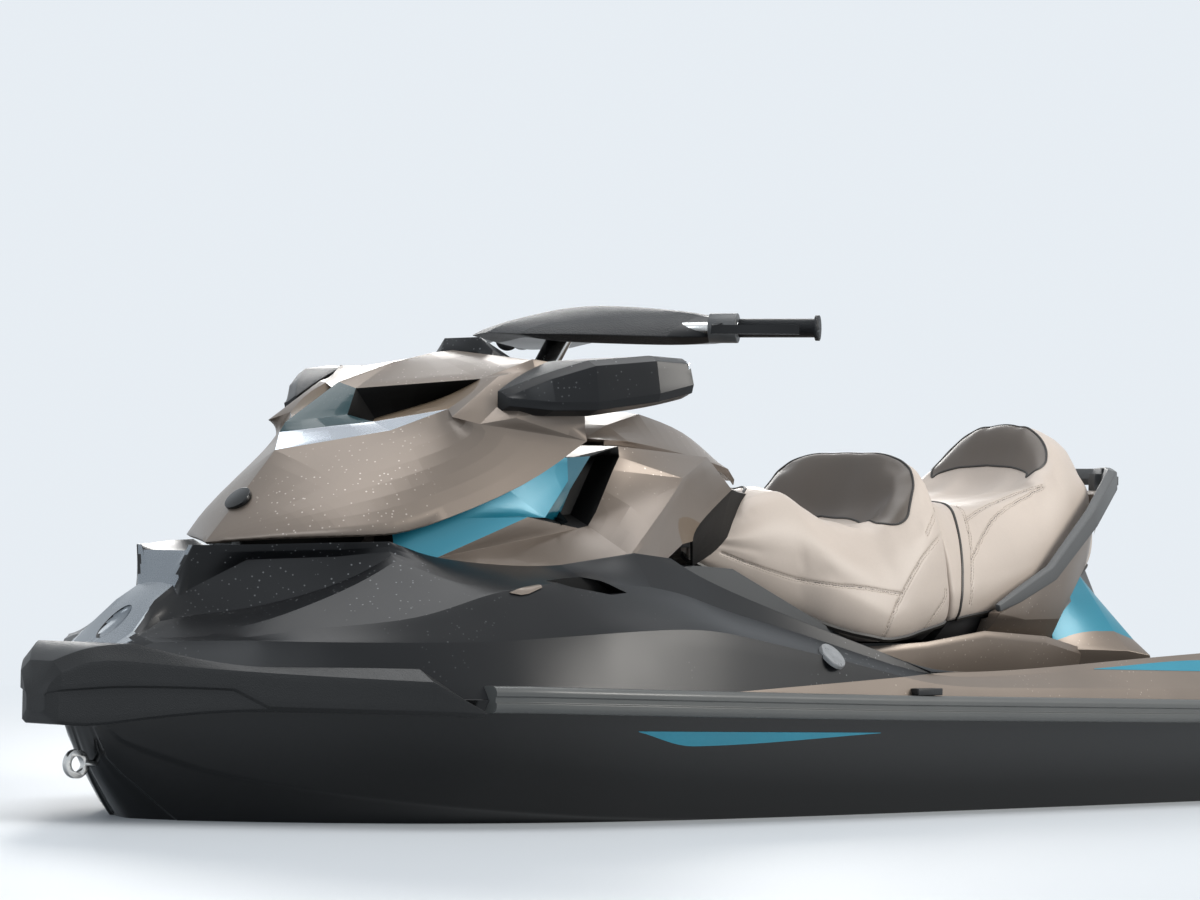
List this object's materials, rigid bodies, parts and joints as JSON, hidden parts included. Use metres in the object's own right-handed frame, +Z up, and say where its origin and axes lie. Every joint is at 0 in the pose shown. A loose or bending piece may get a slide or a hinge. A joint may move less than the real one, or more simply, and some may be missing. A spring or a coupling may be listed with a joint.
{
  "type": "personal watercraft",
  "caption": "Three-seat water-jet personal watercraft with an opening front hood that carries the mirrors, a tilted handlebar, a lift-off rear seat, a steering nozzle and a reverse bucket.",
  "frame": {"origin": "centreline at the still waterline, about amidships", "axes": "+X towards the bow, +Y to port, +Z up"},
  "size_m": [3.33, 1.23, 1.185],
  "materials": {
    "hull": "gloss gelcoat, black",
    "deck": "gloss gelcoat, black",
    "rub_rail": "matt rubber, grey",
    "bow_bumper": "satin moulding, black",
    "console": "satin metallic paint, bronze",
    "storage_bin": "matt moulding, black",
    "glovebox_bin": "matt moulding, black",
    "lid_hinge": "brushed",
    "hood_hinge": "brushed",
    "steering_column": "matt moulding, black",
    "gauge_pod": "satin moulding, black",
    "driver_seat": "marine vinyl, light beige",
    "driver_pan": "matt moulding, black",
    "bay_seal": "matt rubber, black",
    "seat_base": "satin metallic paint, light bronze",
    "grab_handle": "textured moulding, dark grey",
    "side_flanks": "satin metallic paint, bronze",
    "tail_cowl": "satin metallic paint, grey with a teal field",
    "cowl_panels": "satin paint, light teal",
    "footwell_mats": "ribbed foam mat, dark grey",
    "platform_mat": "ribbed foam mat, dark grey",
    "engine": "plain block",
    "pump": "cast",
    "step_brackets": "brushed",
    "ride_plate": "cast",
    "intake_grate": "cast",
    "sponsons": "matt moulding, black",
    "cleats": "matt moulding, black",
    "bow_eye": "polished stainless",
    "tow_eye": "polished stainless",
    "hood": "satin metallic paint, bronze",
    "nose_cap": "gloss moulding, black",
    "hood_scoop": "satin moulding, black",
    "hood_trim": "satin silver",
    "mirror_housings": "gloss moulding, black",
    "mirror_glasses": "mirror",
    "glovebox_lid": "satin metallic paint, bronze",
    "handlebar": "black tube",
    "bar_pad": "textured soft moulding, dark grey",
    "grips": "ribbed rubber, black",
    "switch_housings": "satin moulding, grey",
    "levers": "black",
    "passenger_seat": "marine vinyl, light beige",
    "seat_pan": "matt moulding, black",
    "impeller": "cast stainless",
    "steering_nozzle": "cast",
    "reverse_bucket": "matt moulding, black",
    "boarding_step": "satin tube"
  },
  "bodies": {
    "craft": {"hull": "hull", "deck": "deck", "rub_rail": "rub_rail", "bow_bumper": "bow_bumper", "console": "console", "storage_bin": "storage_bin", "glovebox_bin": "glovebox_bin", "lid_hinge": "lid_hinge", "hood_hinge": "hood_hinge", "steering_column": "steering_column", "gauge_pod": "gauge_pod", "driver_seat": "driver_seat", "driver_pan": "driver_pan", "bay_seal": "bay_seal", "seat_base": "seat_base", "grab_handle": "grab_handle", "side_flanks": "side_flanks", "tail_cowl": "tail_cowl", "cowl_panels": "cowl_panels", "footwell_mats": "footwell_mats", "platform_mat": "platform_mat", "engine": "engine", "pump": "pump", "step_brackets": "step_brackets", "ride_plate": "ride_plate", "intake_grate": "intake_grate", "sponsons": "sponsons", "cleats": "cleats", "bow_eye": "bow_eye", "tow_eye": "tow_eye"},
    "hood": {"hood": "hood", "nose_cap": "nose_cap", "hood_scoop": "hood_scoop", "hood_trim": "hood_trim", "mirror_housings": "mirror_housings", "mirror_glasses": "mirror_glasses"},
    "glovebox_lid": {"glovebox_lid": "glovebox_lid"},
    "steering": {"handlebar": "handlebar", "bar_pad": "bar_pad", "grips": "grips", "switch_housings": "switch_housings", "levers": "levers"},
    "passenger_seat": {"passenger_seat": "passenger_seat", "seat_pan": "seat_pan"},
    "impeller": {"impeller": "impeller"},
    "nozzle": {"steering_nozzle": "steering_nozzle"},
    "reverse_bucket": {"reverse_bucket": "reverse_bucket"},
    "boarding_step": {"boarding_step": "boarding_step"}
  },
  "joints": [
    {"name": "hood_open", "type": "hinge", "parent": "craft", "child": "hood", "pos_m": [1.254, 0, 0.458], "axis": [0, 1, 0], "range_deg": [0, 50]},
    {"name": "lid_open", "type": "hinge", "parent": "craft", "child": "glovebox_lid", "pos_m": [0.524, 0, 0.648], "axis": [0, 1, 0], "range_deg": [0, 20]},
    {"name": "steering_turn", "type": "hinge", "parent": "craft", "child": "steering", "pos_m": [0.5, 0, 0.8], "axis": [-0.5736, 0, 0.8192], "range_deg": [-25, 25]},
    {"name": "nozzle_turn", "type": "hinge", "parent": "craft", "child": "nozzle", "pos_m": [-1.56, 0, -0.15], "axis": [0, 0, 1], "range_deg": [-22, 22]},
    {"name": "impeller_spin", "type": "hinge", "parent": "craft", "child": "impeller", "pos_m": [-1.33, 0, -0.15], "axis": [1, 0, 0], "continuous": true},
    {"name": "bucket_drop", "type": "hinge", "parent": "craft", "child": "reverse_bucket", "pos_m": [-1.52, 0, -0.15], "axis": [0, -1, 0], "range_deg": [0, 54]},
    {"name": "step_fold", "type": "hinge", "parent": "craft", "child": "boarding_step", "pos_m": [-1.672, 0, 0.14], "axis": [0, 1, 0], "range_deg": [0, 110], "stiffness_Nm_per_rad": 1.5, "springref_deg": -57.3},
    {"name": "seat_lift", "type": "slide", "parent": "craft", "child": "passenger_seat", "axis": [0, 0, 1], "range_m": [0, 0.35]}
  ],
  "couplings": [
    {"joint": "nozzle_turn", "follows": "steering_turn", "ratio": -0.88}
  ]
}
